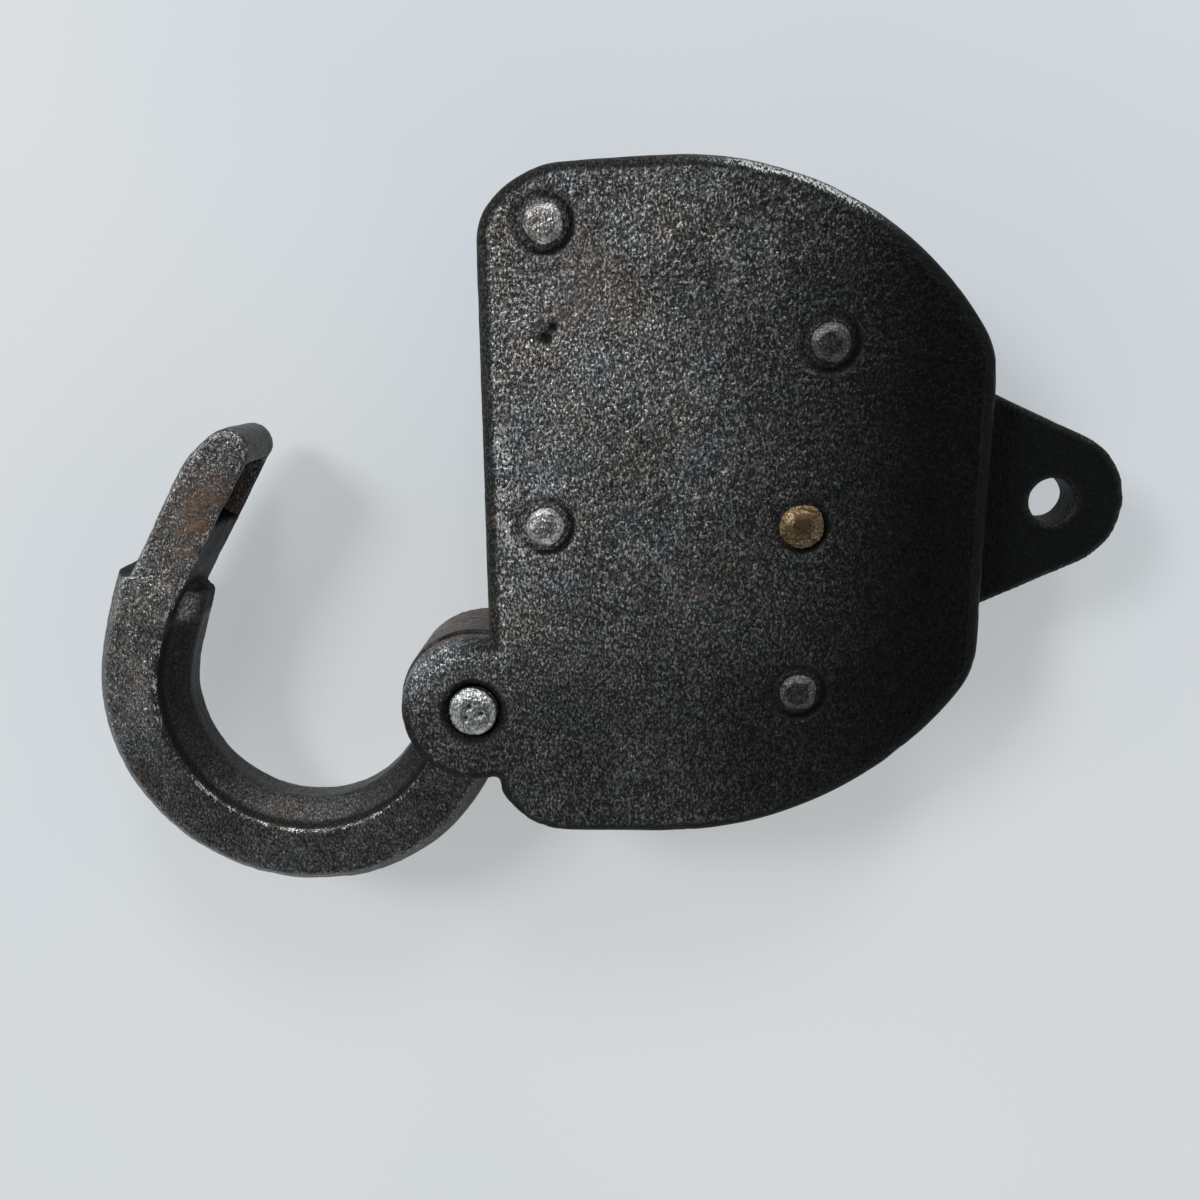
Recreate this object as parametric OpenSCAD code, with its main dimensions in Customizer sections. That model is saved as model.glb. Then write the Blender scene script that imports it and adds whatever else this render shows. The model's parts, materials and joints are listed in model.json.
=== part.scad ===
// Riveted D-shaped padlock with a swinging shackle, lying open on its keyhole side.
// Millimetres. Lock frame: x = 0 on the straight edge that the shackle closes against,
// y = 0 on the case's middle line, z = 0 on the surface that the lock lies on.

/* [Case] */
// Width of the case along its straight edge
case_w = 77.2; // [74:0.2:92]
// Length of the case from the straight edge to the flat end
case_l = 56.5; // [52:0.5:60]
// Radius of the two corners on the straight edge
corner_r = 9; // [7:0.1:10]
// Radius of the two corners at the lug's end
end_r = 10; // [6:0.5:12]
// Radius of the side away from the hinge, and of the side near it
side_r = [39.1, 42.5]; // [38:0.1:50]
// Distance from the straight edge to where each of those sides begins to curve
side_start = [22, 20]; // [18:0.5:24]
// Thickness of each side plate
plate_t = 3.2; // [2.6:0.1:4]
// Rounding of the plates' outer edges
edge_r = 1.4; // [0.6:0.1:1.8]
// Thickness of the middle frame
frame_t = 11.1; // [11:0.1:13.4]
// Distance that the frame's edge lies inside the plates' edge
frame_inset = 0.4; // [0.3:0.05:0.6]

/* [Hinge] */
// Distance of the hinge axis outside the straight edge
hinge_out = 2; // [1.2:0.1:2.6]
// Distance of the hinge axis from the case's middle line
hinge_off = 23.2; // [21.5:0.1:24]
// Radius of the ears on both plates
ear_r = 8.9; // [8.6:0.1:9.4]
// Radius of the shackle's eye
eye_r = 9.2; // [8.6:0.1:9.4]
// Thickness of the shackle's eye, a little more than the bow's
eye_t = 10.7; // [10.6:0.05:10.9]
// Diameter of the hinge pin
pin_d = 5.9; // [5:0.1:6.3]
// Width of the ring-shaped recess round the pin's end
recess_w = 0.65; // [0.3:0.05:0.9]
// Depth of the recess round the pin's end
recess_depth = 0.8; // [0.4:0.1:1.2]

/* [Shackle] */
// Radius of the bow's centre line
bow_r = 20; // [18.5:0.1:21]
// Width of the bow's bar, seen from the front
bow_w = 10.6; // [9:0.1:11]
// Thickness of the shackle, front to back
bow_t = 10.5; // [8.8:0.1:10.6]
// Distance from the bow's inner side to the sharp edge of its flat face
crest_in = 3; // [2.4:0.1:3.4]
// Height of the round ledge inside that edge, above the bar's middle
ledge_h = 3.1; // [2.6:0.1:3.6]
// Distance that the ledge falls towards the bow's inner side
ledge_fall = 1.5; // [1:0.1:2]
// Rounding of the ledge
ledge_round = 0.6; // [0.4:0.1:0.9]
// Width of the steep groove between the ledge and the sharp edge
groove_w = 0.7; // [0.5:0.1:1]
// Distance that the ledge rises into the groove
groove_rise = 0.5; // [0.3:0.1:0.8]
// Width of the bevels on the bow's outside
outer_bevel = 1.6; // [1:0.1:2.5]
// Depth of the bevels on the bow's outside
bevel_depth = 1.3; // [0.8:0.05:2]
// Width of the lower, steeper bevels on the bow's outside
side_bevel = 0.4; // [0.2:0.1:0.8]
// Depth of those lower bevels
side_depth = 1.4; // [1:0.1:2]
// Distance from the hinge axis to the bow's centre
bow_off = 21.9; // [21.4:0.1:23]
// Distance of the open bow's centre from the hinge axis, along the straight edge
bow_lift = 0.7; // [0:0.1:1]
// Angle round the bow's centre where its curve ends and its straight leg begins
leg_angle = 162; // [158:1:168]
// Angle between the closed and the fully open shackle
swing = 71.6; // [60:0.2:73]
// Width of the tongue
tongue_w = 6.3; // [5.8:0.1:7]
// Length of the tongue from the shoulder
tongue_l = 21.5; // [20.5:0.1:22.5]
// Distance of the closed tongue's root from the case's middle line
tongue_off = 17.9; // [17.5:0.1:18.6]
// Angle between the closed tongue and the case's length
tongue_slant = 12; // [10:0.2:14]
// Thickness of the tongue, front to back
tongue_t = 10.2; // [8.6:0.1:10.4]
// Width of the bevels along the tongue's edges
tongue_bevel = 0.4; // [0.3:0.05:0.8]
// Radius of the long curve on the outside of the tongue's tip
tip_curve_r = 13.6; // [12:0.1:15]
// Radius of the tongue's nose
nose_r = 2.4; // [1.8:0.1:2.6]
// Distance from the shoulder to the bolt pocket
pocket_from = 9.8; // [9:0.1:10.5]
// Length of the bolt pocket along the tongue
pocket_l = 8.6; // [7.8:0.1:9]
// Depth of the bolt pocket into the tongue
pocket_depth = 4.4; // [4.1:0.1:5]
// Height of the bolt pocket, front to back
pocket_h = 7.8; // [7:0.1:8.4]

/* [Chain lug] */
// Distance that the lug reaches past the flat end
lug_reach = 16.8; // [15:0.2:20]
// Radius of the lug's round end
lug_r = 8.1; // [7:0.1:9]
// Angle of the lug's sloping sides
lug_slope = 24.5; // [15:0.5:28]
// Distance that the lug's root reaches into the case's flat end
lug_root = 3; // [2:0.5:4]
// Thickness of the lug
lug_t = 6; // [4.5:0.1:8]
// Distance of the lug's middle from the case's middle line
lug_off = 0.9; // [-1:0.1:1]
// Diameter of the chain hole
chain_hole_d = 5.1; // [4:0.1:7]

/* [Rivets] */
// Diameter of the case rivets' shanks
rivet_d = 3.6; // [3:0.1:4.2]
// Diameter of the peened heads on the marked side
peened_d = 4.6; // [4.4:0.1:5.6]
// Height of the peened heads
peened_h = 1.1; // [0.6:0.1:1.5]
// Diameter of the made heads on the keyhole side
head_d = 5.6; // [5:0.1:6.6]
// Height of the made heads, which the lock lies on
head_h = 2; // [1.9:0.1:2.4]
// Height of the made heads' balls above their cut tops
head_flat = 0.2; // [0.1:0.1:0.4]
// Width that the hinge pin's head adds to the pin
pin_head_over = 3; // [2:0.2:4]
// Inset of the corner rivet from the straight edge and from the side
corner_rivet_in = [7.4, 6.9]; // [5:0.1:9]
// Place of the edge rivet
edge_rivet_at = [7, -1]; // [-3:0.1:8]
// Place of the upper pillar rivet
upper_pillar_at = [38.3, 19.1]; // [17:0.1:40]
// Place of the lower pillar rivet
lower_pillar_at = [36, -20.5]; // [-23:0.1:38]

/* [Key and keyhole] */
// Place of the key post
post_at = [35.8, -1]; // [-2:0.1:36]
// Diameter of the key post
post_d = 3.6; // [3:0.1:4.2]
// Diameter of the post's riveted end in the marked plate
post_tail_d = 4; // [3.4:0.1:4.6]
// Diameter of the post's brass head
post_head_d = 5.2; // [5:0.1:6.4]
// Diameter of the round part of the keyhole
keyhole_d = 7.2; // [6.6:0.1:7.3]
// Width of the keyhole's slot, which takes a thick cast bit
keyslot_w = 4.2; // [4.1:0.1:4.4]
// Gap between the end of the bit and the end of the keyhole's slot
keyslot_gap = 0.2; // [0.1:0.05:0.3]
// Radius that the key's bit sweeps
bit_r = 7.4; // [7:0.1:7.6]
// Inner radius of the wards
ward_r = 3.9; // [3.7:0.05:4.1]
// Thickness of the wards' wall
ward_t = 0.9; // [0.6:0.1:1]
// Height of the wards
ward_h = 2.5; // [1.5:0.1:2.8]
// Angle of the gap in the wards that the key's bit goes in through
ward_gap = 72; // [70:1:80]
// Distance that the key post stands back from the keyhole's face
post_back = 0.6; // [0.4:0.1:1]

/* [Bolt] */
// Width of the bolt's block
bolt_w = 5.8; // [5:0.1:6]
// Height of the bolt's nose, front to back
nose_h = 6.4; // [5.4:0.1:6.8]
// Bevel on the corners of the bolt's nose
nose_bevel = 1; // [0.6:0.1:1.4]
// Distance that the key throws the bolt
bolt_throw = 6; // [5:0.1:6.1]
// Thickness of the bolt's tail
tail_t = 3; // [2.4:0.1:3.2]
// Distance of the tail's end from the key post's axis
talon_reach = 5.3; // [5:0.1:5.6]
// Depth of the talon that the key's bit works in
talon_depth = 2.6; // [2.2:0.1:3]
// Width of the talon
talon_w = 4.6; // [4.4:0.1:4.7]
// Length of the bolt's narrow nose
nose_l = 4.2; // [3.8:0.1:4.6]
// Distance from the talon's middle to the tail's lower end
tail_low = 9.8; // [9.4:0.1:10]
// Distance from the talon's middle to the tail's upper edge beside the nose
tail_high = 2.4; // [2:0.1:2.6]
// Distance from the talon's middle to the upper end of its horn
horn_high = 5; // [4.4:0.1:5.2]
// Width of the horn
horn_w = 5.2; // [4.8:0.1:5.4]
// Wall between the guide slot and the tail's upper edge
slot_wall = 1.4; // [1:0.1:1.6]
// Diameter of the bolt's guide pin
guide_d = 3; // [2.4:0.1:3.2]
// Distance of the guide pin from the straight edge
guide_x = 20.2; // [19.8:0.1:20.6]
// Thickness of the spring strip
spring_t = 0.5; // [0.3:0.05:0.6]
// Width of the spring strip
spring_w = 3.6; // [3:0.1:3.8]
// Length of the spring's foot, which its rivet holds
spring_foot = 4.4; // [4:0.1:4.8]
// Length of the spring's flat top, which bears on the bolt
spring_top = 2; // [1.6:0.1:2.4]
// Length and drop of the spring's turned-down end
spring_toe = [2.4, 1.6]; // [1.4:0.1:2.6]
// Diameter of the spring's rivet
spring_rivet_d = 2; // [1.6:0.1:2.2]

/* [Keyhole cover] */
// Radius of the cover's round end
cover_r = 8; // [7.8:0.1:8.2]
// Radius of the cover round its pivot
cover_pivot_r = 3.6; // [3.2:0.1:4]
// Distance from the key post's axis to the cover's pivot
cover_arm = 11.4; // [11:0.1:11.6]
// Thickness of the cover
cover_t = 0.9; // [0.7:0.05:1]
// Diameter of the cover's rivet
cover_rivet_d = 2.6; // [2.2:0.1:3]
// Diameter of the cover rivet's head
cover_head_d = 5; // [4.4:0.1:5.4]
// Thickness of the washer under the cover rivet's head
washer_t = 0.3; // [0.2:0.05:0.4]

/* [Clearances] */
// Running clearance round a pin, on the radius
pin_gap = 0.08; // [0.04:0.01:0.1]
// Gap between the shoulder and the straight edge of the closed lock
shoulder_gap = 0.4; // [0.3:0.05:0.8]
// Gap between the tongue and its socket's curved walls
socket_gap = 0.35; // [0.3:0.05:0.5]
// Gap between the tongue's tip and the end of its socket
tip_gap = 1.5; // [0.8:0.1:1.8]
// Gap between the shackle's eye and the frame
eye_gap = 0.5; // [0.4:0.05:0.8]
// Sliding gap beside the bolt
slide_gap = 0.1; // [0.05:0.01:0.2]
// Gap between the bolt's guide pin and the sides of its slot
guide_gap = 0.05; // [0.03:0.01:0.1]
// Gap between the bolt's guide pin and the ends of its slot
slot_gap = 0.2; // [0.1:0.05:0.3]
// Distance that the drawn bolt's nose stands back from the socket
nose_gap = 0.3; // [0.2:0.05:0.4]
// Gap between the end of the key's bit and the room that it turns in
key_gap = 0.9; // [0.6:0.1:1]
// Gaps above and below the cover's washer
washer_gap = [0.03, 0.02]; // [0.01:0.01:0.04]
// Gap at the ends of the bolt's travel
travel_gap = 0.4; // [0.3:0.05:0.5]
// Gap between a thin moving piece and the face that it slides over
face_gap = 0.05; // [0.03:0.01:0.08]

/* [Hidden] */
$fn = 72;

// Thickness of the slices that the plates' rounded edges are built from
thin = 0.02;

// Heights of the stack
keyhole_face_z = head_h;
frame_z = keyhole_face_z + plate_t;
frame_top_z = frame_z + frame_t;
marked_face_z = frame_top_z + plate_t;
mid_z = frame_z + frame_t / 2;

// Hinge and bow in the open pose
half_w = case_w / 2;
hinge = [-hinge_out, -hinge_off];
bow_centre = hinge + [-bow_off, bow_lift];
bow_in_r = bow_r - bow_w / 2;
bow_out_r = bow_r + bow_w / 2;

// The closed tongue: its root, its direction and the direction across it
root = [-shoulder_gap, tongue_off];
along = [cos(tongue_slant), -sin(tongue_slant)];
across = [sin(tongue_slant), cos(tongue_slant)];
nose_side = -tongue_w / 2 + tongue_bevel + nose_r;
tongue_tip = root + along * tongue_l + across * nose_side;
tongue_near_r = (root - hinge) * across - tongue_w / 2;
tongue_far_r = norm(root + across * tongue_w / 2 - hinge);
tip_angle = atan2(tongue_tip.y - hinge.y, tongue_tip.x - hinge.x);

// The socket that the tongue swings into, round the hinge axis
socket_in_r = tongue_near_r - socket_gap;
socket_out_r = tongue_far_r + socket_gap;
socket_end_angle = tip_angle - tip_gap / tongue_near_r * 180 / PI;
socket_open_angle = 96;

// The bolt at rest, drawn back
pocket_mid = root + along * (pocket_from + pocket_l / 2) - across * (tongue_w - pocket_depth) / 2;
bolt_x0 = pocket_mid.x - bolt_w / 2;
bolt_x1 = pocket_mid.x + bolt_w / 2;
bolt_top = hinge.y + sqrt(pow(socket_in_r, 2) - pow(bolt_x1 - hinge.x, 2)) - nose_gap;
bolt_t = frame_t - 2 * slide_gap;
talon_y = post_at.y - bolt_throw / 2;
tail_x1 = post_at.x - talon_reach;
tail_y0 = talon_y - tail_low;
neck_y1 = talon_y + tail_high;
horn_y1 = talon_y + horn_high;
horn_x0 = tail_x1 - horn_w;
slot_w = guide_d + 2 * guide_gap;
slot_y1 = neck_y1 - slot_wall;
guide_y = slot_y1 - guide_d / 2 - slot_gap;
slot_y0 = guide_y - bolt_throw - guide_d / 2 - slot_gap;
guide_at = [guide_x, guide_y];
guide_bite = plate_t / 2;
travel = bolt_throw + travel_gap;

// The room inside the frame
room_y0 = tail_y0 - travel_gap;
room_r = bit_r + key_gap;

// The spring strip under the bolt's tail
spring_x = horn_x0 - 0.6;
spring_y0 = tail_y0 + slot_gap;
spring_flat_y = spring_y0 + spring_foot;
touch_y = talon_y + 0.7;
touch_z = mid_z - tail_t / 2 - face_gap;
spring_rivet_at = [spring_x + spring_w / 2, spring_y0 + spring_foot / 2];
spring_head_d = 3.4;
spring_head_t = 0.7;

// The cover on the keyhole plate
cover_pivot = post_at - [cover_arm, 0];
cover_z = keyhole_face_z - face_gap - cover_t;
washer_z = cover_z - washer_gap[0] - washer_t;
cover_head_t = 0.5;
cover_head_z = washer_z - washer_gap[1] - cover_head_t;
cover_inner_d = 4;
cover_inner_t = 0.6;

// The key post ends just inside the keyhole
post_end_z = keyhole_face_z + post_back;

// The lug
lug_end = case_l + lug_reach;
lug_at = [lug_end - lug_r, lug_off];
corner_rivet_at = [corner_rivet_in.x, half_w - corner_rivet_in.y];

// The origin: the middle of the open lock's outline, on the surface below
origin = [(bow_centre.x - bow_out_r + lug_end) / 2, (bow_centre.y - bow_out_r + half_w) / 2];

RUST_BLACK = "#2d2c2b";
SHACKLE_STEEL = "#3a3029";
WORN_STEEL = "#6f6c68";
BRASS = "#8a6a34";
SPRING_STEEL = "#4a4f58";

// Everything is drawn in the lock frame and moved to the part's own origin here.
module placed(colour) color(colour) translate([-origin.x, -origin.y, 0]) children();

module at(p, z = 0) translate([p.x, p.y, z]) children();

// A hole or shank through the whole stack
module through(p, d) at(p, -1) cylinder(d = d, h = marked_face_z + 2);

// A round head: part of a ball of the given width and full height, cut flat at the height
module dome(d, full_h, h) {
    ball_r = (pow(d / 2, 2) + pow(full_h, 2)) / (2 * full_h);
    intersection() {
        translate([0, 0, full_h - ball_r]) sphere(ball_r);
        cylinder(d = d, h = h);
    }
}

// The sector of a ring between two angles
module ring_sector(r_in, r_out, h, from, to)
    rotate([0, 0, from]) rotate_extrude(angle = to - from) translate([r_in, 0]) square([r_out - r_in, h]);

// Distance across the case from a long side's centre to the round's centre at the lug's end
function end_rise(k) = sqrt(max(0, pow(side_r[k] - end_r, 2) - pow(case_l - end_r - side_start[k], 2)));

// One side's outline, 0 or 1, drawn in by an inset, from the lug's end to the straight edge. The
// lug end's round stops a step short of the long arc, whose first point ends it.
function side_points(k, inset) = let (turn = atan2(end_rise(k), case_l - end_r - side_start[k])) concat(
    arc_points([case_l - end_r, half_w - side_r[k] + end_rise(k)], end_r - inset, 0, turn * 5 / 6, 5),
    arc_points([side_start[k], half_w - side_r[k]], side_r[k] - inset, turn, 90, 24),
    arc_points([corner_r, half_w - corner_r], corner_r - inset, 90, 180, 18));

// The D-shaped case as a slab, drawn in by an inset
module case_slab(h, inset = 0) {
    near = side_points(1, inset);
    linear_extrude(h)
        polygon(concat(side_points(0, inset), [for (i = [len(near) - 1:-1:0]) [near[i].x, -near[i].y]]));
}

// A plate with its outer edge rounded, face up, and with the ear that holds the hinge pin
module plate_blank() {
    hull() {
        case_slab(plate_t - edge_r);
        for (a = [0:22.5:90])
            translate([0, 0, plate_t - edge_r * (1 - sin(a)) - thin])
                case_slab(thin, edge_r * (1 - cos(a)));
    }
    at(hinge) rotate_extrude() {
        square([ear_r - edge_r, plate_t]);
        square([ear_r, plate_t - edge_r]);
        intersection() {
            translate([ear_r - edge_r, plate_t - edge_r]) circle(edge_r);
            square([ear_r, plate_t]);
        }
    }
}

// The holes that all three layers of the case share
module rivet_holes() {
    for (p = [corner_rivet_at, edge_rivet_at, upper_pillar_at, lower_pillar_at]) through(p, rivet_d);
}

module marked_plate() placed(RUST_BLACK) difference() {
    translate([0, 0, frame_top_z]) plate_blank();
    rivet_holes();
    through(hinge, pin_d);
    through(post_at, post_tail_d);
    at(hinge, marked_face_z - recess_depth) cylinder(d = pin_d + 2 * recess_w, h = plate_t);
    at(guide_at, frame_top_z - 1) cylinder(d = guide_d, h = 1 + guide_bite);
}

module keyhole_plate() placed(RUST_BLACK) difference() {
    translate([0, 0, frame_z]) mirror([0, 0, 1]) plate_blank();
    rivet_holes();
    through(hinge, pin_d);
    through(post_at, keyhole_d);
    at([post_at.x, post_at.y - keyslot_w / 2]) cube([bit_r + keyslot_gap, keyslot_w, marked_face_z]);
    through(cover_pivot, cover_rivet_d);
    through(spring_rivet_at, spring_rivet_d);
    at(guide_at, frame_z - guide_bite) cylinder(d = guide_d, h = guide_bite + 1);
}

// The chain lug, before its hole is drilled: a round end on a base with sloping sides
module lug_blank() {
    base_x = case_l - lug_at.x - lug_root;
    base_w = (lug_r - base_x * sin(lug_slope)) / cos(lug_slope);
    rim = lug_r * [sin(lug_slope), cos(lug_slope)];
    at(lug_at, mid_z - lug_t / 2) {
        cylinder(r = lug_r, h = lug_t);
        linear_extrude(lug_t) polygon([[base_x, -base_w], [rim.x, -rim.y], rim, [base_x, base_w]]);
    }
}

// The rooms cut through the frame for the eye, the tongue, the bolt and the key
module frame_rooms() translate([0, 0, frame_z - 1]) {
    h = frame_t + 2;
    at(hinge) ring_sector(socket_in_r, socket_out_r, h, socket_end_angle, socket_open_angle);
    at(hinge) cylinder(r = eye_r + eye_gap, h = h);
    at(post_at) cylinder(r = room_r, h = h);
    at([bolt_x0 - slide_gap, room_y0]) cube([bolt_w + 2 * slide_gap, bolt_top + bolt_throw - room_y0, h]);
    at([bolt_x1, room_y0]) cube([post_at.x - bolt_x1, neck_y1 + travel - room_y0, h]);
    at([horn_x0 - travel_gap, room_y0]) cube([post_at.x - horn_x0, horn_y1 + travel - room_y0, h]);
}

module case_frame() placed(RUST_BLACK) difference() {
    union() {
        translate([0, 0, frame_z]) case_slab(frame_t, frame_inset);
        lug_blank();
    }
    rivet_holes();
    frame_rooms();
    through(lug_at, chain_hole_d);
}

// The upper half of the bar's section, from its inner side to its outer side: [distance from the
// inner side, height above the middle]. A steep groove falls from the sharp edge to a round ledge.
function half_section() = let (top = bow_t / 2, low = top - bevel_depth)
    [[0, ledge_h - ledge_fall], [ledge_round, ledge_h - ledge_round], [crest_in / 2, ledge_h],
     [crest_in - groove_w, ledge_h + groove_rise], [crest_in, top], [bow_w - outer_bevel, top],
     [bow_w - side_bevel, low], [bow_w, low - side_depth]];

// The bow's bar in section, at its distance from the bow's centre
module bow_section() {
    upper = half_section();
    translate([bow_in_r, 0])
        polygon(concat(upper, [for (i = [len(upper) - 1:-1:0]) [upper[i].x, -upper[i].y]]));
}

// Points along an arc from one angle to another
function arc_points(centre, r, from, to, steps) =
    [for (i = [0:steps]) let (a = from + (to - from) * i / steps) centre + r * [cos(a), sin(a)]];

// The tongue seen from the front, drawn in by an inset: x runs along it and y across it.
// Its nose touches the inner side and the tip, and a long curve joins it to the outer side.
module tongue_outline(inset) {
    w = tongue_w / 2 - inset;
    nose = nose_r - inset / 2;
    nose_at = [tongue_l - inset - nose, nose - w];
    rise = tip_curve_r + nose - 2 * w;
    curve_at = [nose_at.x - sqrt(pow(tip_curve_r - nose, 2) - pow(rise, 2)), w - tip_curve_r];
    turn = atan2(rise, nose_at.x - curve_at.x);
    polygon(concat([[-2, -w]], arc_points(nose_at, nose, -90, turn, 8),
                   arc_points(curve_at, tip_curve_r, turn, 90, 12), [[-2, w]]));
}

// Moves a piece drawn along +x from the tongue's root to where the open tongue lies
module on_open_tongue()
    translate(hinge) rotate(swing) translate(root - hinge) rotate(-tongue_slant) children();

module tongue_blank() on_open_tongue() hull() {
    translate([0, 0, mid_z - tongue_t / 2 + tongue_bevel])
        linear_extrude(tongue_t - 2 * tongue_bevel) tongue_outline(0);
    translate([0, 0, mid_z - tongue_t / 2]) linear_extrude(tongue_t) tongue_outline(tongue_bevel);
}

// The bow's curve and its straight leg, which ends at the shoulder
module bow() difference() {
    at(bow_centre, mid_z) rotate(leg_angle) {
        rotate_extrude(angle = 360 - leg_angle, $fn = 144) bow_section();
        rotate([90, 0, 0]) linear_extrude(bow_out_r) bow_section();
    }
    // The shoulder: the closed bow stops short of the straight edge
    translate(hinge) rotate(swing) at([-shoulder_gap - hinge.x, bow_r]) cube(2 * bow_out_r);
}

module shackle() placed(SHACKLE_STEEL) difference() {
    union() {
        bow();
        at(hinge, mid_z - eye_t / 2) cylinder(r = eye_r, h = eye_t);
        tongue_blank();
    }
    through(hinge, pin_d + 2 * pin_gap);
    on_open_tongue() translate([pocket_from, -tongue_w, mid_z - pocket_h / 2])
        cube([pocket_l, tongue_w / 2 + pocket_depth, pocket_h]);
}

module hinge_pin() placed(WORN_STEEL) at(hinge) {
    translate([0, 0, head_h]) mirror([0, 0, 1])
        dome(pin_d + pin_head_over, head_h + 2 * head_flat, head_h);
    translate([0, 0, head_h]) cylinder(d = pin_d, h = marked_face_z - head_h);
}

// A case rivet: made head below, shank through all three layers, peened head above
module case_rivet(p) placed(WORN_STEEL) at(p) {
    translate([0, 0, head_h]) mirror([0, 0, 1]) dome(head_d, head_h + head_flat, head_h);
    translate([0, 0, head_h]) cylinder(d = rivet_d, h = marked_face_z - head_h);
    translate([0, 0, marked_face_z]) dome(peened_d, peened_h, peened_h);
}

module corner_rivet() case_rivet(corner_rivet_at);
module edge_rivet() case_rivet(edge_rivet_at);
module upper_pillar_rivet() case_rivet(upper_pillar_at);
module lower_pillar_rivet() case_rivet(lower_pillar_at);

// The post that a hollow key turns on, riveted into the marked plate
module key_post() placed(BRASS) at(post_at) {
    translate([0, 0, marked_face_z]) dome(post_head_d, peened_h, peened_h);
    translate([0, 0, frame_top_z]) cylinder(d = post_tail_d, h = plate_t);
    translate([0, 0, post_end_z]) cylinder(d = post_d, h = frame_top_z - post_end_z);
}

// A curved ward: a standing ring with a gap that the key's bit passes
module ward(z) placed(RUST_BLACK) at(post_at, z)
    ring_sector(ward_r, ward_r + ward_t, ward_h, ward_gap / 2, 360 - ward_gap / 2);

module marked_side_ward() ward(frame_top_z - ward_h);
module keyhole_side_ward() ward(frame_z);

// The bolt, drawn back: a block with a nose for the shackle's pocket, and a flat tail with a talon
module bolt() placed(WORN_STEEL) difference() {
    union() {
        at([bolt_x0, tail_y0], mid_z - bolt_t / 2) cube([bolt_w, bolt_top - nose_l - tail_y0, bolt_t]);
        translate([0, 0, mid_z - nose_h / 2]) linear_extrude(nose_h)
            polygon([[bolt_x0, tail_y0], [bolt_x1, tail_y0], [bolt_x1, bolt_top - nose_bevel],
                     [bolt_x1 - nose_bevel, bolt_top], [bolt_x0 + nose_bevel, bolt_top],
                     [bolt_x0, bolt_top - nose_bevel]]);
        at([bolt_x0, tail_y0], mid_z - tail_t / 2) cube([tail_x1 - bolt_x0, neck_y1 - tail_y0, tail_t]);
        at([horn_x0, tail_y0], mid_z - tail_t / 2) cube([tail_x1 - horn_x0, horn_y1 - tail_y0, tail_t]);
    }
    at([tail_x1 - talon_depth, talon_y - talon_w / 2]) cube([tail_x1, talon_w, marked_face_z]);
    for (y = [slot_y0 + slot_w / 2, slot_y1 - slot_w / 2]) through([guide_x, y], slot_w);
    at([guide_x - slot_w / 2, slot_y0 + slot_w / 2])
        cube([slot_w, slot_y1 - slot_y0 - slot_w, marked_face_z]);
}

module bolt_guide_pin() placed(WORN_STEEL) at(guide_at, frame_z - guide_bite)
    cylinder(d = guide_d, h = frame_t + 2 * guide_bite);

// A bent strip that bears on the tail from below and holds the bolt where the key leaves it
module bolt_spring() placed(SPRING_STEEL) difference() {
    bend = [touch_y - spring_top / 2, touch_z - spring_t];
    end = bend + [spring_top, 0];
    path = [[spring_y0, frame_z], [spring_flat_y, frame_z], bend, end,
            end + [spring_toe.x, -spring_toe.y]];
    top = [for (p = path) p + [0, spring_t]];
    translate([spring_x, 0, 0]) rotate([90, 0, 90]) linear_extrude(spring_w)
        polygon(concat(path, [for (i = [len(top) - 1:-1:0]) top[i]]));
    through(spring_rivet_at, spring_rivet_d);
}

module spring_rivet() placed(WORN_STEEL) at(spring_rivet_at, keyhole_face_z) {
    cylinder(d = spring_rivet_d, h = plate_t + spring_t);
    translate([0, 0, plate_t + spring_t]) cylinder(d = spring_head_d, h = spring_head_t);
}

// The pear-shaped cover that swings over the keyhole
module keyhole_cover() placed(RUST_BLACK) at(cover_pivot, cover_z) difference() {
    lean = asin((cover_r - cover_pivot_r) / cover_arm);
    side = [-sin(lean), cos(lean)];
    low = [side.x, -side.y];
    end = [cover_arm, 0];
    union() {
        cylinder(r = cover_pivot_r, h = cover_t);
        translate(end) cylinder(r = cover_r, h = cover_t);
        linear_extrude(cover_t) polygon([cover_pivot_r * side, cover_pivot_r * low,
                                         end + cover_r * low, end + cover_r * side]);
    }
    translate([0, 0, -1]) cylinder(d = cover_rivet_d + 2 * pin_gap, h = cover_t + 2);
}

module cover_rivet() placed(WORN_STEEL) at(cover_pivot, cover_head_z) {
    cylinder(d = cover_head_d, h = cover_head_t);
    cylinder(d = cover_rivet_d, h = frame_z + cover_inner_t - cover_head_z);
    translate([0, 0, frame_z - cover_head_z]) cylinder(d = cover_inner_d, h = cover_inner_t);
}

module cover_washer() placed(WORN_STEEL) at(cover_pivot, washer_z) difference() {
    cylinder(d = cover_head_d - 0.2, h = washer_t);
    translate([0, 0, -1]) cylinder(d = cover_rivet_d + 2 * pin_gap, h = washer_t + 2);
}

marked_plate();
keyhole_plate();
case_frame();
shackle();
hinge_pin();
corner_rivet();
edge_rivet();
upper_pillar_rivet();
lower_pillar_rivet();
key_post();
marked_side_ward();
keyhole_side_ward();
bolt();
bolt_guide_pin();
bolt_spring();
spring_rivet();
keyhole_cover();
cover_rivet();
cover_washer();
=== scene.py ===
import json
import math
from itertools import product

import bmesh
import bpy
import numpy as np
from mathutils import Matrix, Vector, kdtree


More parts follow.
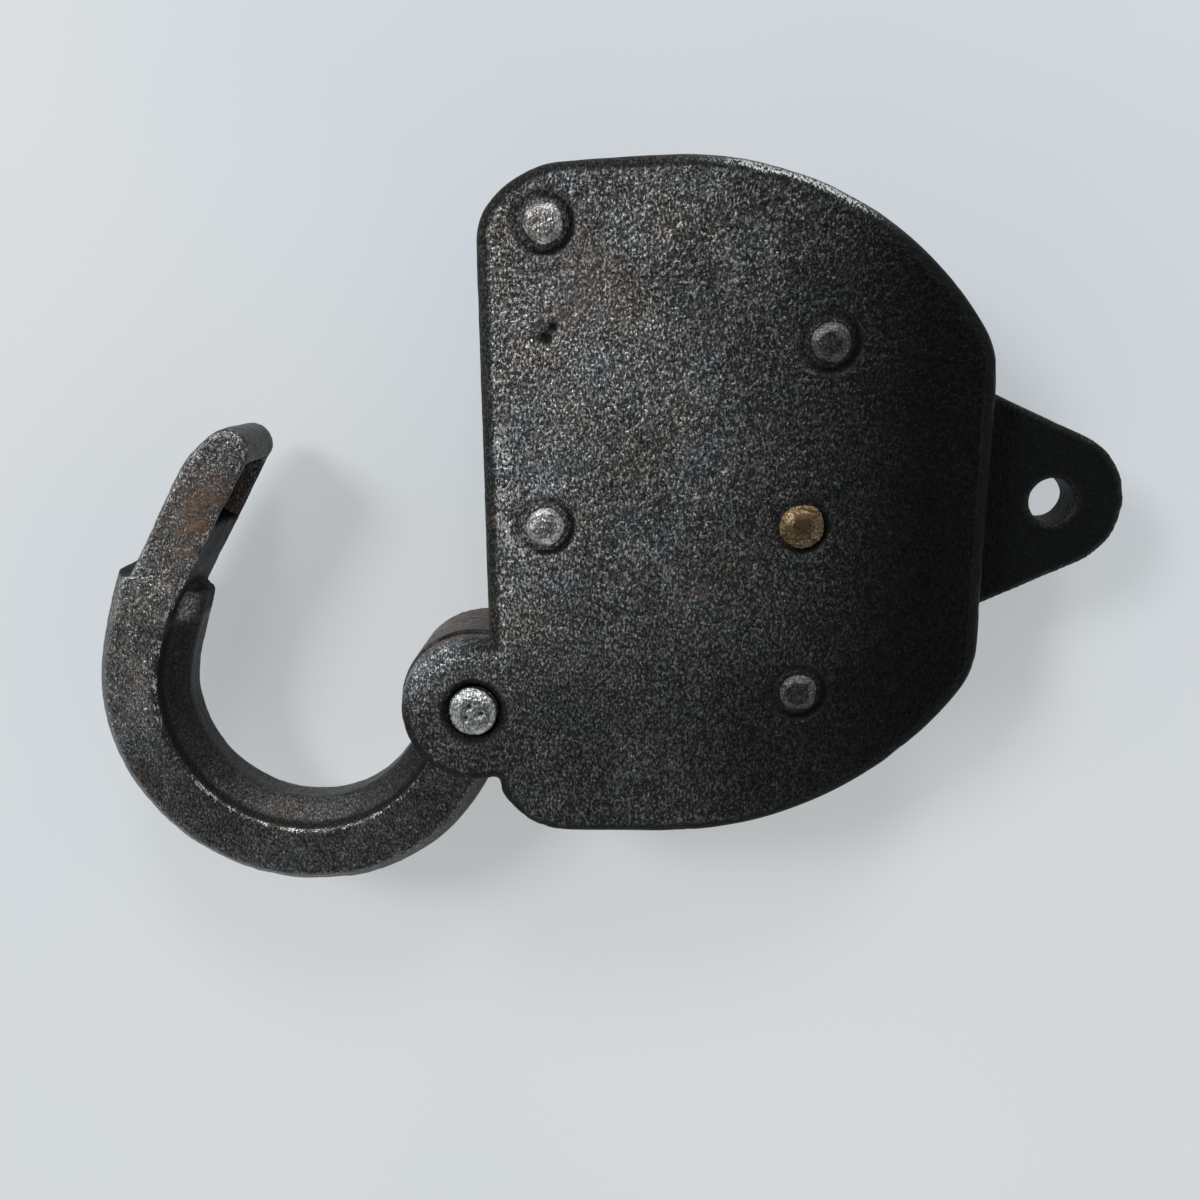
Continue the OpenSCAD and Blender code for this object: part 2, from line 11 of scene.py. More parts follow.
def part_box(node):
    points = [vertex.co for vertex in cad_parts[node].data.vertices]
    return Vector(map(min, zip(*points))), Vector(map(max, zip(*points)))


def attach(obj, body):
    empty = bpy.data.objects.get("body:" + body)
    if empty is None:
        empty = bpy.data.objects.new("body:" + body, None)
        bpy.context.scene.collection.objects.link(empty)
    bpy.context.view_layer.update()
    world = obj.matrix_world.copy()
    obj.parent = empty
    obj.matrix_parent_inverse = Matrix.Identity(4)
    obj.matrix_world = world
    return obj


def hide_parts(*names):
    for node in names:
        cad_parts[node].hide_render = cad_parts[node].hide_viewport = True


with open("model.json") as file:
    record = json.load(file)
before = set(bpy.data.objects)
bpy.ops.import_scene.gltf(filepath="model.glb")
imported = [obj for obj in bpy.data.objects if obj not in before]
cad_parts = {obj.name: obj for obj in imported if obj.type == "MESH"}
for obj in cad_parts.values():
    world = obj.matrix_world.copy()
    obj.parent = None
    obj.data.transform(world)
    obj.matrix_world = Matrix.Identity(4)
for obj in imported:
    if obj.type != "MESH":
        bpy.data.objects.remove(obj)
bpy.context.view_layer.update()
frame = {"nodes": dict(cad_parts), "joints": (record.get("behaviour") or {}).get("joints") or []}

# The looks of a riveted padlock lying open on a pale table. Lengths in the mesh code are in
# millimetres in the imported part's own frame, and MM turns them into Blender's metres.
MM = 0.001


# ---------------------------------------------------------------- noise and mesh helpers

def lattice(points, seed):
    """Smooth noise from -1 to 1 at each point, from hashed values on a unit lattice."""
    cell = np.floor(points).astype(np.int64)
    part = points - cell
    ease = part * part * (3 - 2 * part)
    total = np.zeros(len(points))
    for corner in product((0, 1), repeat=3):
        at = cell + np.array(corner)
        mixed = at[:, 0] * 374761393 + at[:, 1] * 668265263 + at[:, 2] * 1440662683 + seed * 1013904223
        mixed = ((mixed & 0xFFFFFFFF) ^ ((mixed & 0xFFFFFFFF) >> 13)) * 1274126177
        mixed = (mixed & 0xFFFFFFFF) ^ ((mixed & 0xFFFFFFFF) >> 16)
        value = (mixed & 0xFFFF) / 32767.5 - 1
        share = np.prod(np.where(np.array(corner) == 1, ease, 1 - ease), axis=1)
        total += value * share
    return total


def rough(points, size, seed, octaves=3):
    """Fractal noise whose largest lumps are about size millimetres across."""
    total = np.zeros(len(points))
    for k in range(octaves):
        total += lattice(points / size * 2 ** k + 31.7 * k, seed + k) * 0.5 ** k
    return total


def ramp(value, low, high):
    """0 at low and 1 at high, smooth between and level past them; low may be the larger."""
    t = np.clip((value - low) / (high - low), 0, 1)
    return t * t * (3 - 2 * t)


class Skin:
    """A dense, even copy of a CAD node whose points can be moved and given attributes."""

    def __init__(self, node, voxel):
        self.node = node
        source = bmesh.new()
        source.from_mesh(frame["nodes"][node].data)
        bmesh.ops.remove_doubles(source, verts=source.verts, dist=1e-6)
        mesh = bpy.data.meshes.new(node + "_skin")
        source.to_mesh(mesh)
        source.free()
        self.object = bpy.data.objects.new(node + "_skin", mesh)
        bpy.context.scene.collection.objects.link(self.object)
        remesh = self.object.modifiers.new("even", "REMESH")
        remesh.mode = "VOXEL"
        remesh.voxel_size = voxel * MM
        graph = bpy.context.evaluated_depsgraph_get()
        dense = bpy.data.meshes.new_from_object(self.object.evaluated_get(graph))
        self.object.modifiers.clear()
        self.object.data = dense
        self.mesh = dense
        edges = np.empty(len(dense.edges) * 2, dtype=np.int64)
        dense.edges.foreach_get("vertices", edges)
        self.edges = edges.reshape(-1, 2)
        self.read()

    def read(self):
        """Takes the points, in millimetres, and the normals from the mesh."""
        count = len(self.mesh.vertices)
        points = np.empty(count * 3)
        self.mesh.vertices.foreach_get("co", points)
        self.points = points.reshape(-1, 3) / MM
        normals = np.empty(count * 3)
        self.mesh.vertex_normals.foreach_get("vector", normals)
        self.normals = normals.reshape(-1, 3)

    def move(self, offset):
        """Moves each point by its own vector, or along its normal by its own distance."""
        if offset.ndim == 1:
            offset = self.normals * offset[:, None]
        self.mesh.vertices.foreach_set("co", ((self.points + offset) * MM).ravel())
        self.mesh.update()
        self.read()

    def spread(self, values, rounds):
        """Averages values over neighbouring points, the given number of times."""
        a, b = self.edges.T
        count = np.bincount(np.r_[a, b], minlength=len(values)).astype(float)
        for _ in range(rounds):
            total = np.bincount(a, values[b], len(values)) + np.bincount(b, values[a], len(values))
            values = 0.5 * values + 0.5 * total / np.maximum(count, 1)
        return values

    def smooth(self, rounds, keep=None):
        """Rounds the shape off, except where keep is 1."""
        moved = np.stack([self.spread(self.points[:, k], rounds) for k in range(3)], axis=1)
        offset = moved - self.points
        if keep is not None:
            offset *= (1 - keep)[:, None]
        self.move(offset)

    def bend(self, rounds=2):
        """How sharply the surface bulges, in 1/mm: above 0 on edges, below 0 in corners."""
        a, b = self.edges.T
        step = self.points[a] - self.points[b]
        length = np.maximum((step ** 2).sum(1), 1e-9)
        out = np.bincount(a, 2 * (self.normals[a] * step).sum(1) / length, len(self.points))
        out += np.bincount(b, -2 * (self.normals[b] * step).sum(1) / length, len(self.points))
        count = np.bincount(np.r_[a, b], minlength=len(self.points))
        return self.spread(out / np.maximum(count, 1), rounds)

    def paint(self, name, values):
        """Stores values from 0 to 1 as an attribute that the materials read."""
        layer = self.mesh.attributes.new(name, "FLOAT", "POINT")
        layer.data.foreach_set("value", np.clip(values, 0, 1).astype(np.float32))

    def finish(self, body, material, slot):
        """Gives the skin its material and puts it in the CAD node's place."""
        self.mesh.materials.clear()
        self.mesh.materials.append(material)
        self.mesh.shade_smooth()
        self.object.name = self.node + "_worn"
        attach(self.object, body)
        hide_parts(self.node)


def blob(points, x, y, rx, ry=None, turn=0):
    """A soft spot: 1 at its middle, falling away over its two radii, in plan."""
    ry = ry or rx
    c, s = math.cos(math.radians(turn)), math.sin(math.radians(turn))
    dx, dy = points[:, 0] - x, points[:, 1] - y
    along, across = dx * c + dy * s, dy * c - dx * s
    return np.exp(-(along / rx) ** 2 - (across / ry) ** 2)


def centre(node):
    low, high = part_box(node)
    return np.array((low + high) / 2) / MM


def size_of(node):
    low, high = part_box(node)
    return np.array(high - low) / MM


# ---------------------------------------------------------------- materials

class Nodes:
    """A short way to write a material's node tree."""

    def __init__(self, name):
        self.material = bpy.data.materials.new(name)
        self.material.use_nodes = True
        self.tree = self.material.node_tree
        self.shader = self.tree.nodes["Principled BSDF"]
        where = self.tree.nodes.new("ShaderNodeTexCoord")
        self.place = self.vector("SCALE", where.outputs["Object"], scale=1 / MM)

    def put(self, node, socket, value):
        target = node.inputs[socket]
        if isinstance(value, bpy.types.NodeSocket):
            self.tree.links.new(value, target)
        else:
            target.default_value = value

    def vector(self, operation, a, b=None, scale=None):
        node = self.tree.nodes.new("ShaderNodeVectorMath")
        node.operation = operation
        self.put(node, 0, a)
        if b is not None:
            self.put(node, 1, b)
        if scale is not None:
            node.inputs["Scale"].default_value = scale
        return node.outputs[0]

    def math(self, operation, a, b=0.5, clamp=False):
        node = self.tree.nodes.new("ShaderNodeMath")
        node.operation = operation
        node.use_clamp = clamp
        self.put(node, 0, a)
        self.put(node, 1, b)
        return node.outputs[0]

    def noise(self, size, detail=3, roughness=0.55, stretch=(1, 1, 1), shift=0):
        """Noise from 0 to 1 with lumps about size millimetres across."""
        node = self.tree.nodes.new("ShaderNodeTexNoise")
        spot = self.vector("MULTIPLY_ADD", self.place, stretch)
        spot.node.inputs[2].default_value = (shift, shift * 0.7, shift * 1.3)
        self.put(node, "Vector", spot)
        node.inputs["Scale"].default_value = 1 / size
        node.inputs["Detail"].default_value = detail
        node.inputs["Roughness"].default_value = roughness
        return node.outputs["Fac"]

    def grains(self, size, shift=0):
        """Cells about size millimetres across: a random shade for each."""
        node = self.tree.nodes.new("ShaderNodeTexVoronoi")
        spot = self.vector("ADD", self.place, (shift, shift, shift))
        self.put(node, "Vector", spot)
        node.inputs["Scale"].default_value = 1 / size
        apart = self.tree.nodes.new("ShaderNodeSeparateColor")
        self.tree.links.new(node.outputs["Color"], apart.inputs[0])
        return apart.outputs[0]

    def step(self, value, low, high, to_low=0.0, to_high=1.0):
        node = self.tree.nodes.new("ShaderNodeMapRange")
        node.interpolation_type = "SMOOTHSTEP"
        self.put(node, "Value", value)
        node.inputs["From Min"].default_value = low
        node.inputs["From Max"].default_value = high
        node.inputs["To Min"].default_value = to_low
        node.inputs["To Max"].default_value = to_high
        return node.outputs[0]

    def attribute(self, name):
        node = self.tree.nodes.new("ShaderNodeAttribute")
        node.attribute_name = name
        return node.outputs["Fac"]

    def blend(self, factor, a, b):
        """Colour a where factor is 0 and colour b where it is 1."""
        node = self.tree.nodes.new("ShaderNodeMix")
        node.data_type = "RGBA"
        self.put(node, 0, factor)
        for socket, value in ((6, a), (7, b)):
            self.put(node, socket, (*value, 1) if isinstance(value, tuple) else value)
        return node.outputs[2]

    def bump(self, height, distance, strength=1.0, under=None):
        node = self.tree.nodes.new("ShaderNodeBump")
        node.inputs["Strength"].default_value = strength
        node.inputs["Distance"].default_value = distance * MM
        self.put(node, "Height", height)
        if under is not None:
            self.put(node, "Normal", under)
        return node.outputs[0]

    def set(self, **sockets):
        for name, value in sockets.items():
            socket = name.replace("_", " ")
            if isinstance(value, tuple) and socket == "Base Color":
                value = (*value, 1)
            self.put(self.shader, socket, value)
        return self.material


# Painted colours: the two glint tones are painted glints on the raised grains, bare steel is worn metal, and
# the near black is painted shade
COOL_GLINT = (0.52, 0.55, 0.565)
WARM_GLINT = (0.55, 0.515, 0.48)
BARE_STEEL = (0.55, 0.55, 0.55)
PAINTED_SHADE_BLACK = (0.0022, 0.0030, 0.0029)


def old_steel(name, low=(0.0065, 0.0068, 0.0072), rust=(0.16, 0.090, 0.048), grain=0.23,
              relief=0.21, gaps=0.14, shift=0.0):
    """Blackened steel with a sandy skin. The sheen attribute is a painted highlight: the raised grains are
    painted bright where it is high, and gaps is how bright they stay between them. Wear bares the metal, rust
    lies where painted, and the soot attribute is painted shade that blackens the steel and dulls its metal
    and gloss."""
    n = Nodes(name)
    painted_sheen = n.attribute("painted_sheen")
    wear = n.attribute("wear")
    rusty = n.attribute("rust")
    painted_shade = n.attribute("painted_shade")
    mottle = n.noise(1.5, 4, shift=shift + 5)
    sand = n.noise(grain, 2, 0.6, stretch=(1.0, 0.55, 1.0), shift=shift + 9)
    lumps = n.noise(grain * 3, 2, 0.5, shift=shift + 2)
    shade = n.grains(grain * 0.8, shift)
    raised = n.step(sand, 0.46, 0.66, gaps, 1.0)
    # painted glint: raised grains are painted towards the glint tones where the highlight attribute is high
    bright = n.math("MULTIPLY", n.math("MULTIPLY", painted_sheen, raised), n.step(shade, 0.0, 1.0, 0.5, 1.4), True)
    bright = n.math("MULTIPLY", bright, n.step(mottle, 0.3, 0.7, 0.8, 1.15), True)
    tint = n.step(n.noise(6, 4, shift=shift + 7), 0.35, 0.65)
    colour = n.blend(bright, low, n.blend(tint, COOL_GLINT, WARM_GLINT))
    bared = n.math("MULTIPLY", n.step(n.math("ADD", sand, n.math("MULTIPLY", wear, 0.25)), 0.58, 0.70),
                   n.step(wear, 0.02, 0.50), True)
    rubbed = n.math("MULTIPLY", n.step(wear, 0.7, 1.0), n.step(mottle, 0.40, 0.60), True)
    shine = n.math("MAXIMUM", bared, rubbed)
    rust_tone = n.blend(n.step(mottle, 0.35, 0.7), rust, (rust[0] * 0.35, rust[1] * 0.33, rust[2] * 0.4))
    spots = n.step(n.noise(0.8, 5, shift=shift + 3), 0.30, 0.65)
    rust_here = n.math("MULTIPLY", n.step(rusty, 0.05, 0.95), spots, True)
    colour = n.blend(rust_here, colour, rust_tone)
    colour = n.blend(shine, colour, BARE_STEEL)
    # painted shade: where the soot attribute is high the colour is painted near black and the metal and gloss
    # are taken away
    colour = n.blend(n.math("MULTIPLY", painted_shade, 0.95), colour, PAINTED_SHADE_BLACK)
    rusted = n.math("SUBTRACT", rust_here, shine, True)
    metal = n.math("SUBTRACT", 0.9, n.math("MULTIPLY", rusted, 0.8), True)
    metal = n.math("SUBTRACT", metal, painted_shade, True)
    dull = n.math("ADD", rusted, n.math("MULTIPLY", painted_shade, 0.5))
    roughness = n.step(dull, 0.0, 1.0, 0.30, 0.75)
    gloss = n.math("SUBTRACT", 0.30, n.math("MULTIPLY", painted_shade, 0.24), True)
    skin = n.bump(lumps, relief * 1.5, 0.8)
    skin = n.bump(sand, relief, 1.0, skin)
    return n.set(Base_Color=colour, Roughness=roughness, Metallic=metal, Specular_IOR_Level=gloss,
                 Normal=skin)


def old_brass(name):
    """Tarnished brass: brown with yellow metal showing on the high spots."""
    n = Nodes(name)
    wear = n.attribute("wear")
    blotch = n.noise(1.3, 4)
    fine = n.noise(0.28, 3, shift=4)
    tarnish = n.blend(n.step(blotch, 0.35, 0.65), (0.085, 0.052, 0.024), (0.030, 0.020, 0.012))
    bright = n.math("MULTIPLY", n.step(n.math("ADD", wear, blotch), 0.62, 1.1), n.step(fine, 0.35, 0.6), True)
    colour = n.blend(bright, tarnish, (0.22, 0.155, 0.09))
    skin = n.bump(fine, 0.03, 0.8, n.bump(blotch, 0.12, 0.5))
    return n.set(Base_Color=colour, Roughness=n.step(bright, 0, 1, 0.5, 0.34), Metallic=0.85, Normal=skin)


def blued_spring(name):
    n = Nodes(name)
    stain = n.noise(1.2, 4)
    colour = n.blend(n.step(stain, 0.4, 0.7), (0.022, 0.028, 0.046), (0.06, 0.035, 0.02))
    skin = n.bump(n.noise(0.3, 2), 0.02, 0.6)
    return n.set(Base_Color=colour, Roughness=n.step(stain, 0.3, 0.7, 0.3, 0.55), Metallic=0.8, Normal=skin)


def dull_steel(name):
    """Plain dull steel for the pieces inside, with a little brown in it."""
    n = Nodes(name)
    stain = n.noise(2.5, 4)
    colour = n.blend(n.step(stain, 0.4, 0.7), (0.06, 0.058, 0.056), (0.05, 0.032, 0.022))
    skin = n.bump(n.noise(0.4, 3), 0.04, 0.7)
    return n.set(Base_Color=colour, Roughness=n.step(stain, 0.35, 0.7, 0.45, 0.75), Metallic=0.6, Normal=skin)


STEEL = old_steel("blackened_plate_steel", rust=(0.085, 0.048, 0.030))
CASTING = old_steel("rusted_frame_iron", shift=20)
FORGED = old_steel("forged_shackle_steel", low=(0.010, 0.0095, 0.009), relief=0.16, gaps=0.28, shift=40)
PEENED = old_steel("peened_rivet_steel", grain=0.22, relief=0.10, gaps=0.4, shift=60)
BRASS = old_brass("tarnished_brass")
SPRING = blued_spring("blued_spring_steel")
INNER = dull_steel("dull_inner_steel")


# ---------------------------------------------------------------- the case

FACE = (np.array(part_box("marked_plate")[1]) / MM)[2]
BACK = (np.array(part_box("keyhole_plate")[0]) / MM)[2]
FRAME_STEP = 0.4     # from the case's straight edge to the frame's lowest x
CASE_LENGTH = 56.5   # from the straight edge to the lug's end
CORNER_KNOCK = 0.9   # how far the corner by the corner rivet is knocked in
PLATE_VOXELS = {"marked_plate": 0.33, "keyhole_plate": 0.42}
EDGE_X = (np.array(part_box("case_frame")[0]) / MM)[0] - FRAME_STEP
HINGE = np.array(frame["joints"][0]["pos_m"])[:2] / MM
CORNER = centre("corner_rivet")[:2]
RIVETS = ("corner_rivet", "edge_rivet", "upper_pillar_rivet", "lower_pillar_rivet", "key_post")
# Small pits in the marked face, measured from the corner rivet: x, y, radius, depth
PITS = ((0.0, -11.9, 0.95, 0.65), (0.8, -10.7, 0.75, 0.5), (6.5, -15.6, 0.6, 0.12), (-7.0, -64.2, 0.9, 0.5))


def from_line(points, line, limit):
    """Each point's distance in plan from the nearest of the line's points, up to the limit."""
    tree = kdtree.KDTree(len(line))
    for k, (x, y) in enumerate(line):
        tree.insert((x, y, 0), k)
    tree.balance()
    return np.array([min(tree.find((x, y, 0))[2], limit) for x, y in points[:, :2]])


def worn_corner(points):
    """Offsets that knock in the corner by the corner rivet, along the case's side."""
    push = np.zeros_like(points)
    short = np.clip((EDGE_X + 25 - points[:, 0]) / 20, 0, 1)
    push[:, 1] = -CORNER_KNOCK * short ** 2 * ramp(points[:, 1], CORNER[1] - 1, CORNER[1] + 6)
    return push


def make_plate(node, outward):
    """A side plate: wavy, ragged along its rounded edge, and sunk a little round each rivet. With it
    come masks: outer fades towards the frame, inside is the way in from the face's outline, strip is
    the rounded edge, and the last is painted shade on the strip, in the pits and in a ring round each
    rivet, widest on the rivet's lower right where its shadow falls."""
    s = Skin(node, PLATE_VOXELS[node])
    face = FACE if outward > 0 else BACK
    outer = ramp((face - s.points[:, 2]) * outward, 2.6, 1.2)
    s.smooth(3, keep=1 - outer)
    p = s.points
    depth = (face - p[:, 2]) * outward
    line = p[(depth > 0.10) & (depth < 0.45) & (s.normals[:, 2] * outward > 0.2)][::2, :2]
    inside = from_line(p, line, 6)
    strip = np.maximum(ramp(depth, 0.04, 0.25), ramp(inside, 0.75, 0.35)) * ramp(depth, 3.1, 2.9)
    s.move(worn_corner(p))
    p = s.points
    dent = 0.05 * rough(p, 16, 3) + 0.03 * rough(p, 3.5, 7)
    dent -= ramp(inside, 1.0, 0.0) * 0.12 * ramp(rough(p, 2.6, 11), 0.1, 0.9)
    # painted shade along the rounded edge strip
    dark = 0.9 * strip
    brow = np.hypot(p[:, 0] - HINGE[0] + 4, p[:, 1] - HINGE[1] - 5) / 6
    brow = np.exp(-brow ** 2) * (p[:, 0] < EDGE_X + 2)
    dent -= 0.5 * ramp(inside, 2.6, 0.0) * brow
    for rivet in RIVETS:
        x, y, _ = centre(rivet)
        head = min(size_of(rivet)[:2]) / 2
        away = np.hypot(p[:, 0] - x, p[:, 1] - y)
        # side is stronger on a rivet's lower right: it deepens the sunk ring there and paints the ring's
        # shadow into the shade mask
        facing = ((p[:, 0] - x) * 0.8 - (p[:, 1] - y) * 0.6) / np.maximum(away, 0.1)
        side = 0.85 + 0.30 * np.clip(facing, -1, 1)
        dent -= 0.40 * side * np.exp(-((away - head - 0.10) / 0.45) ** 2)
        dark = np.maximum(dark, side * ramp(np.abs(away - head - 0.2), 0.65, 0.25))
    if outward > 0:
        # the pits are sunk and given painted shade
        for dx, dy, r, deep in PITS:
            dent -= deep * blob(p, CORNER[0] + dx, CORNER[1] + dy, r, r * 0.8)
            spot = ramp(blob(p, CORNER[0] + dx, CORNER[1] + dy, r), 0.25, 0.7)
            dark = np.maximum(dark, ramp(deep, 0.2, 0.5) * spot)
    s.move(dent * outer)
    return s, outer, inside, strip, dark


def make_marked_plate():
    """The plate that faces up. Its painted highlights, bared and stained places and painted shade are set
    from the corner rivet.
    """
    s, outer, inside, strip, dark = make_plate("marked_plate", 1)
    p = s.points
    cx, cy = CORNER
    # painted highlight: the grains are painted brightest at the left and top and fade to near black towards
    # the right and bottom, as the lamp's reflection falls away
    painted_sheen = (1 - ramp(p[:, 0], cx - 4, cx + 43)) * (0.35 + 0.65 * ramp(p[:, 1], cy - 58, cy - 28))
    painted_sheen += 0.55 * blob(p, cx - 4.0, cy - 32, 5, 15) + 0.2 * blob(p, cx - 3, cy - 13, 5, 8)
    painted_sheen -= 0.30 * blob(p, cx - 3, cy + 3, 9, 6)
    painted_sheen *= 0.8 + 0.35 * ramp(rough(p, 6, 21), -0.6, 0.8)
    grey = 0.25 * blob(p, cx - 2, cy - 13, 6, 8) + 0.25 * blob(p, cx - 5, cy - 30, 2.5, 14)
    grey *= ramp(rough(p, 4, 23), -0.4, 0.8)
    ragged = ramp(rough(p, 1.8, 33), -0.35, 0.5)
    rim = ramp(inside, 1.9, 0.8) * (1 - strip)
    # the top-right edge is bared, partly as wear and partly as a painted highlight; the ear's upper-left rim
    # gets a painted highlight and a little wear
    rim_wear_and_highlight = blob(p, cx + 26.5, cy + 3.0, 9, 5, -20)
    ear_highlight_and_wear = blob(p, *(HINGE + (-5.5, 6)), 5, 3.5, 45)
    top_line = blob(p, cx + 8, cy + 6, 12, 3) + 0.5 * blob(p, cx - 6, cy - 22, 3, 22)
    edge = ramp(s.normals[:, 2], 0.98, 0.85) * ramp(s.normals[:, 2], 0.25, 0.6)
    wear = grey + rim * ragged * (0.35 * top_line + 0.2 * ear_highlight_and_wear)
    wear += edge * rim_wear_and_highlight * (0.6 + 0.5 * ragged)
    painted_sheen += 0.9 * ear_highlight_and_wear * outer
    patches = ramp(rough(p, 5, 41), -0.1, 0.8)
    # a band inside the straight edge, painted brighter as a highlight and bared a little as wear
    band = ramp(inside, 3.4, 1.6) * (1 - strip) * blob(p, cx - 6, cy - 33, 5, 13)
    painted_sheen += 0.9 * band
    wear = np.minimum(wear + 0.85 * band * ragged, 0.62)
    rust = 0.36 * blob(p, cx + 5, cy - 5, 6, 5) + 0.36 * blob(p, cx + 1, cy + 1, 5, 4)
    rust += 0.3 * blob(p, cx + 3, cy - 9, 5, 4)
    rust += (0.9 * blob(p, cx + 17.5, cy - 40.1, 0.6, 0.9)
             + 0.22 * blob(p, cx + 17, cy - 38, 6, 10) * patches)
    rust += 0.35 * rim * ragged * top_line + 0.12 * patches * painted_sheen
    ring = np.hypot(p[:, 0] - HINGE[0], p[:, 1] - HINGE[1])
    rust = np.maximum(rust, 0.40 * np.exp(-((ring - 4.4) / 0.6) ** 2))
    # the painted shade is left off where the highlights are painted
    unshaded_highlights = np.clip(1.6 * edge * rim_wear_and_highlight + 1.3 * ear_highlight_and_wear, 0, 1)
    s.paint("painted_sheen", painted_sheen)
    s.paint("wear", wear)
    s.paint("rust", rust)
    s.paint("painted_shade", dark * (1 - unshaded_highlights) * outer)
    s.finish("case", STEEL, "blackened_steel")


def make_keyhole_plate():
    """The plate on the table's side, evenly rusted."""
    s, outer, inside, strip, dark = make_plate("keyhole_plate", -1)
    p = s.points
    rim = ramp(inside, 1.3, 0.2) * (1 - strip)
    # painted highlight on the grains, uneven at random
    s.paint("painted_sheen", 0.35 + 0.2 * rough(p, 9, 55))
    s.paint("wear", 0.25 * ramp(rough(p, 12, 51), -0.2, 0.9) + rim * ramp(rough(p, 2, 53), -0.2, 0.6) * 0.4)
    s.paint("rust", 0.7 * ramp(rough(p, 10, 61), 0.0, 0.9))
    # painted shade on the rounded edge and in a ring round each rivet
    s.paint("painted_shade", dark * 0.7 * outer)
    s.finish("case", STEEL, "blackened_steel")


make_marked_plate()
make_keyhole_plate()


def make_frame():
    """The middle casting with its lug: coarser skin, rounded lug edges."""
    s = Skin("case_frame", 0.40)
    flat_end = EDGE_X + CASE_LENGTH
    lug = ramp(s.points[:, 0], flat_end + 0.5, flat_end + 1.5)
    s.smooth(4, keep=1 - lug)
    s.move(worn_corner(s.points))
    p = s.points
    side = ramp(np.abs(s.normals[:, 2]), 0.9, 0.3)
    dent = 0.05 * rough(p, 7, 71) + 0.03 * rough(p, 2.2, 73)
    s.move(dent * np.maximum(side * 0.6, lug) - 0.03 * side)
    p = s.points
    edge = ramp(s.bend(2), 0.16, 0.5)
    # a faint painted highlight on the lug's edges; painted shade over the frame between the plates, most on
    # the lug, which lies in the plates' shadow
    s.paint("painted_sheen", 0.03 + 0.10 * edge * lug)
    s.paint("wear", edge * 0.06 * lug)
    s.paint("rust", 0.30 * ramp(rough(p, 6, 75), 0.0, 0.8) * (1 - 0.7 * lug))
    s.paint("painted_shade", 0.70 + lug * (0.22 - 0.35 * edge))
    s.finish("case", CASTING, "cast_frame")


make_frame()


# ---------------------------------------------------------------- rivets, pin and post

def hammer(s, middle, radius, height, seed, cuts=6, lean=26, tilt=(0.0, 0.0)):
    """Offsets that beat a round head flat on top, with bevelled blows and an uneven outline."""
    spin = np.random.default_rng(seed)
    p = s.points.copy()
    above = p[:, 2] > FACE - 0.05
    x, y = p[:, 0] - middle[0], p[:, 1] - middle[1]
    turn = np.arctan2(y, x)
    outline = sum(spin.uniform(-0.022, 0.022) * np.cos(k * turn + spin.uniform(0, 6)) for k in (2, 3, 4, 5))
    p[:, 0] += x * outline * above
    p[:, 1] += y * outline * above
    top = FACE + height + tilt[0] * x + tilt[1] * y
    p[:, 2] = np.where(above & (p[:, 2] > top), top + 0.15 * (p[:, 2] - top), p[:, 2])
    for k in range(cuts):
        way = 2 * math.pi * (k + spin.uniform(-0.3, 0.3)) / cuts
        slope = math.radians(lean + spin.uniform(-8, 10))
        blow = np.array([math.sin(slope) * math.cos(way), math.sin(slope) * math.sin(way), math.cos(slope)])
        reach = radius * spin.uniform(0.50, 0.72)
        edge = np.array([middle[0] + reach * math.cos(way), middle[1] + reach * math.sin(way), FACE + height])
        past = np.maximum((p - edge) @ blow, 0) * above
        p -= 0.9 * past[:, None] * blow
    return p - s.points


def make_rivet(node, seed, shade, height, tilt, rusty):
    """A rivet's peened end. Its head gets a painted highlight and wear that grow with shade, and painted
    shade where it meets the plate.
    """
    s = Skin(node, 0.11)
    middle = centre(node)
    s.move(hammer(s, middle, min(size_of(node)[:2]) / 2, height, seed, tilt=tilt))
    p = s.points
    head = p[:, 2] > FACE + 0.02
    s.move((0.035 * rough(p, 1.1, seed) + 0.02 * rough(p, 0.4, seed + 3)) * head)
    s.smooth(1)
    p = s.points
    low = ramp(p[:, 2], FACE + 0.30, FACE - 0.1)
    # painted highlight on the head, and painted shade low down where it meets the plate
    s.paint("painted_sheen", shade * (1 - low) * (1.0 + 0.35 * rough(p, 0.9, seed + 9)))
    s.paint("wear", np.clip(shade - 0.35, 0, 1) * (1 - low) * ramp(rough(p, 0.9, seed + 9), -0.4, 0.8))
    s.paint("rust", rusty * ramp(rough(p, 0.8, seed + 5), -0.2, 0.8) + 0.4 * low)
    s.paint("painted_shade", low * 0.85)
    s.finish("case", PEENED, "worn_steel")


# Each rivet's noise seed, brightness (its painted highlight and wear), height over the face, tilt of its top,
# and rust
for node, seed, shade, height, tilt, rusty in (
        ("corner_rivet", 101, 1.0, 0.72, (0.04, -0.05), 0.3),
        ("edge_rivet", 111, 1.2, 0.75, (0.09, -0.11), 0.1),
        ("upper_pillar_rivet", 121, 0.26, 0.85, (0.04, 0.0), 0.1),
        ("lower_pillar_rivet", 131, 0.25, 0.80, (0.03, 0.0), 0.1)):
    make_rivet(node, seed, shade, height, tilt, rusty)


def make_post():
    """The brass post's end: a low dome with creases and a few soft facets."""
    s = Skin("key_post", 0.12)
    middle = centre("key_post")
    s.move(hammer(s, middle, radius=2.6, height=0.95, seed=207, cuts=7, lean=22))
    p = s.points
    crease = np.abs(rough(p, 1.6, 207, 2))
    s.move((0.03 * rough(p, 0.9, 209) - 0.06 * ramp(crease, 0.12, 0.0)) * (p[:, 2] > FACE))
    s.smooth(1)
    p = s.points
    s.paint("wear", 0.35 + ramp(s.bend(2), 0.2, 0.9) * 0.5 - 0.4 * ramp(crease, 0.15, 0.0))
    s.finish("case", BRASS, "aged_brass")


make_post()


